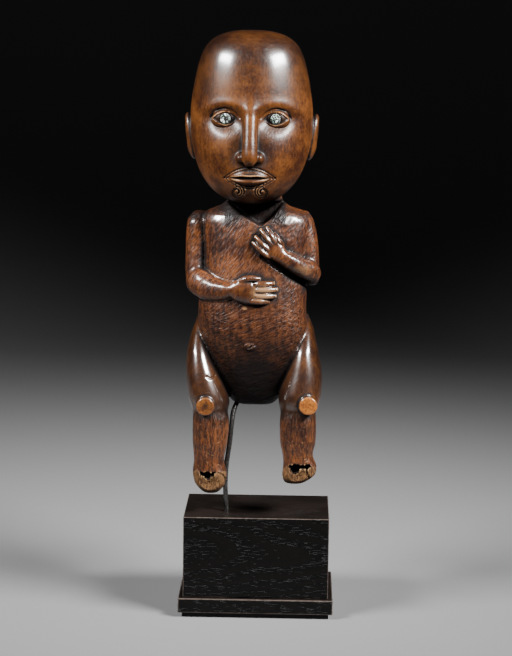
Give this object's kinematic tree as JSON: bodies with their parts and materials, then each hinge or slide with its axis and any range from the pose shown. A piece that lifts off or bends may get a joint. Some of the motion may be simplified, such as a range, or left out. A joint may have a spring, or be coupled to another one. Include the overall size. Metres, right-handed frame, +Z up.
{
  "type": "carved wooden ancestor figure on a stand",
  "caption": "Standing wooden figure with a large head, one hand on its chest and one on its belly, knobbed knees and broken feet, held above a black block by a bent rod.",
  "frame": {"origin": "middle of the plinth's underside, where the stand meets the surface it stands on", "axes": "+Z up, +X to the right of a viewer who faces the figure, the figure faces -Y"},
  "size_m": [0.1367, 0.1224, 0.513],
  "materials": {
    "patinated_wood": "carved hardwood with a glossy red-brown patina",
    "shell": "polished nacre with a grey-green shimmer",
    "blackened_steel": "blackened round steel rod, half gloss",
    "black_oak": "open-pored oak stained black, half gloss"
  },
  "bodies": {
    "root": {"carved_figure": "patinated_wood", "eye_inlay_left": "shell", "eye_inlay_right": "shell", "support_rod": "blackened_steel", "stand_block": "black_oak", "stand_plinth": "black_oak"}
  },
  "joints": []
}
